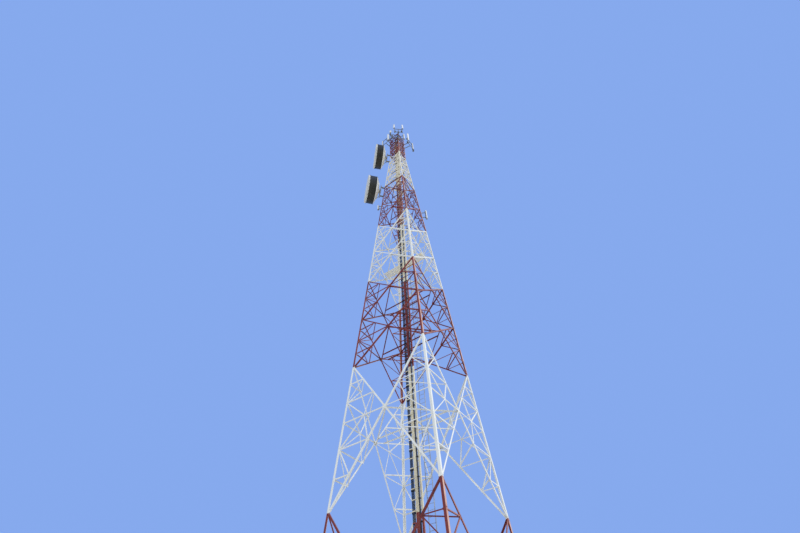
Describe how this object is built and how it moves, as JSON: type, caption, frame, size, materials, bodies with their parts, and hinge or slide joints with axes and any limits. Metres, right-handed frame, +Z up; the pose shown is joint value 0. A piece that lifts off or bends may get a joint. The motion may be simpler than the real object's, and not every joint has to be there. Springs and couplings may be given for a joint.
{
  "type": "cell tower, scale model 1:2",
  "caption": "Square self-supporting lattice cell tower in red and white paint bands, with shrouded dishes, sector antennas, ladders and a rest platform.",
  "frame": {"origin": "centre of the front left base plate, on its underside", "axes": "+X along the front face to the right, +Y to the back, +Z up along the tower"},
  "size_m": [3.962, 3.962, 29.64],
  "materials": {
    "banded_paint": "red and white bands, weathered, with rust at joints",
    "red_paint": "faded red enamel with rust at joints",
    "white_paint": "weathered white enamel with rust at joints",
    "ladder_paint": "yellowed cream paint",
    "galvanised_steel": "dull zinc coat",
    "cable_jacket": "dusty black jacket",
    "dish_paint": "weathered dark shroud, pale reflector behind",
    "radome_sheet": "taut pale sheet",
    "antenna_shell": "matt white shell",
    "radio_housing": "grey sprayed housing"
  },
  "bodies": {
    "root": {"base_plates": "galvanised_steel", "leg_front_left": "banded_paint", "leg_front_right": "banded_paint", "leg_back_right": "banded_paint", "leg_back_left": "banded_paint", "front_bracing_1": "red_paint", "front_bracing_2": "white_paint", "front_bracing_3": "red_paint", "front_bracing_4": "banded_paint", "front_bracing_top": "banded_paint", "right_bracing_1": "red_paint", "right_bracing_2": "white_paint", "right_bracing_3": "red_paint", "right_bracing_4": "banded_paint", "right_bracing_top": "banded_paint", "back_bracing_1": "red_paint", "back_bracing_2": "white_paint", "back_bracing_3": "red_paint", "back_bracing_4": "banded_paint", "back_bracing_top": "banded_paint", "left_bracing_1": "red_paint", "left_bracing_2": "white_paint", "left_bracing_3": "red_paint", "left_bracing_4": "banded_paint", "left_bracing_top": "banded_paint", "plan_bracing_lower": "banded_paint", "plan_bracing_upper": "banded_paint", "ladder_beams": "galvanised_steel", "cable_ladder": "ladder_paint", "feeder_cables": "cable_jacket", "painted_cables": "ladder_paint", "climbing_ladder": "galvanised_steel", "platform": "ladder_paint", "upper_dish": "dish_paint", "upper_radome": "radome_sheet", "upper_dish_mount": "galvanised_steel", "lower_dish": "dish_paint", "lower_radome": "radome_sheet", "lower_dish_mount": "galvanised_steel", "sector_frames": "galvanised_steel", "sector_antennas": "antenna_shell", "radio_units": "radio_housing", "side_brackets": "galvanised_steel", "side_antennas": "antenna_shell"}
  },
  "joints": []
}
